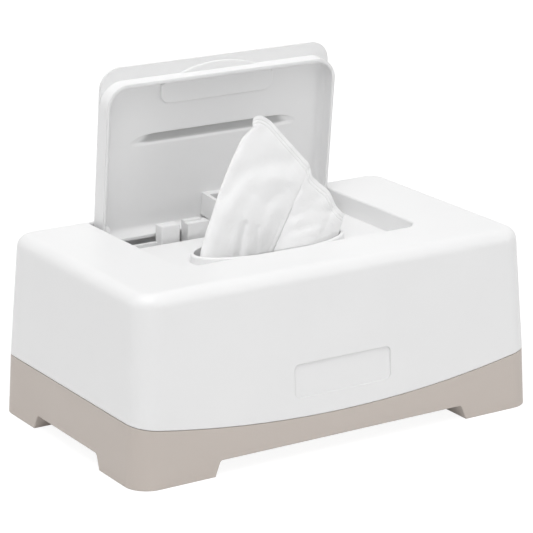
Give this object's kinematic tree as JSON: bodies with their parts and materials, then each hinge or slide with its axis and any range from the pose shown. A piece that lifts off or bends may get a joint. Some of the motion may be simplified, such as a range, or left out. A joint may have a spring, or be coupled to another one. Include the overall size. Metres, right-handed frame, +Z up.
{
  "type": "baby wipes box",
  "caption": "Plastic wipes box: greige footed tray, white lift-off cover with a seam that dips at the front, hinged lid in a sunk well, raised oval opening and a cloth wipe standing in it.",
  "frame": {"origin": "on the surface the box stands on, under the middle of its footprint", "axes": "+X along the box's length, +Y from the front to the hinge side, +Z up"},
  "size_m": [0.25, 0.15, 0.1864],
  "materials": {
    "greige_plastic": "satin moulded plastic",
    "white_plastic": "smooth moulded plastic, lightly glossy",
    "pin_steel": "drawn wire",
    "wipe_cloth": "soft non-woven cloth"
  },
  "bodies": {
    "base": {"base_tray": "greige_plastic", "wipe_stack": "wipe_cloth"},
    "cover": {"cover": "white_plastic", "wipe_sheet": "wipe_cloth"},
    "lid": {"lid": "white_plastic", "lid_boss": "white_plastic", "hinge_pin_left": "pin_steel", "hinge_pin_right": "pin_steel"}
  },
  "joints": [
    {"name": "cover_lift", "type": "slide", "parent": "base", "child": "cover", "axis": [0, 0, 1], "range_m": [0, 0.07]},
    {"name": "lid_hinge", "type": "hinge", "parent": "cover", "child": "lid", "pos_m": [0, 0.0576, 0.0949], "axis": [1, 0, 0], "range_deg": [0, 84.2], "deforming": ["wipe_sheet"]}
  ]
}
